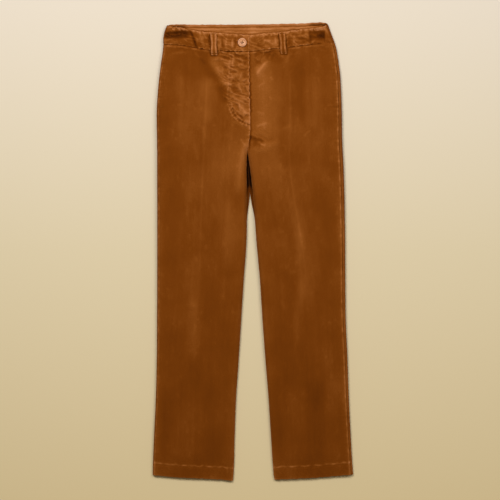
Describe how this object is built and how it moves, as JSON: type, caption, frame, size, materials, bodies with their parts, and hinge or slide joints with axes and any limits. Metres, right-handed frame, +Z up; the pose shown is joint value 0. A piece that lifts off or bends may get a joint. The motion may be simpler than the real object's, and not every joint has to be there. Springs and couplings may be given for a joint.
{
  "type": "corduroy trousers",
  "caption": "Straight-leg needlecord trousers laid flat, front up, with a fly, a buttoned waistband, belt loops, side-seam pockets and turned-up hems.",
  "frame": {"origin": "on the surface the trousers lie on, under the middle of their outline", "axes": "+Y along the legs from the hems to the waist, +Z up from the surface, +X towards the wearer's left leg"},
  "size_m": [0.4716, 1.078, 0.0231],
  "materials": {
    "legs": "brown cotton needlecord, wales down the legs",
    "waistband": "brown cotton needlecord, interfaced",
    "belt_loops": "brown cotton needlecord strips",
    "pocketing": "plain woven cotton pocketing",
    "zip": "woven zip tape with a nylon coil",
    "button": "pale horn-coloured polyester, satin"
  },
  "bodies": {
    "root": {"front_panel_right": "legs", "front_panel_left": "legs", "back_panel_right": "legs", "back_panel_left": "legs", "waistband_front_right": "waistband", "waistband_front_left": "waistband", "waistband_back": "waistband", "belt_loop_front_right": "belt_loops", "belt_loop_front_left": "belt_loops", "belt_loop_back_right": "belt_loops", "belt_loop_back_centre": "belt_loops", "belt_loop_back_left": "belt_loops", "pocket_bag_right": "pocketing", "pocket_bag_left": "pocketing", "fly_zip": "zip", "button": "button"}
  },
  "joints": []
}
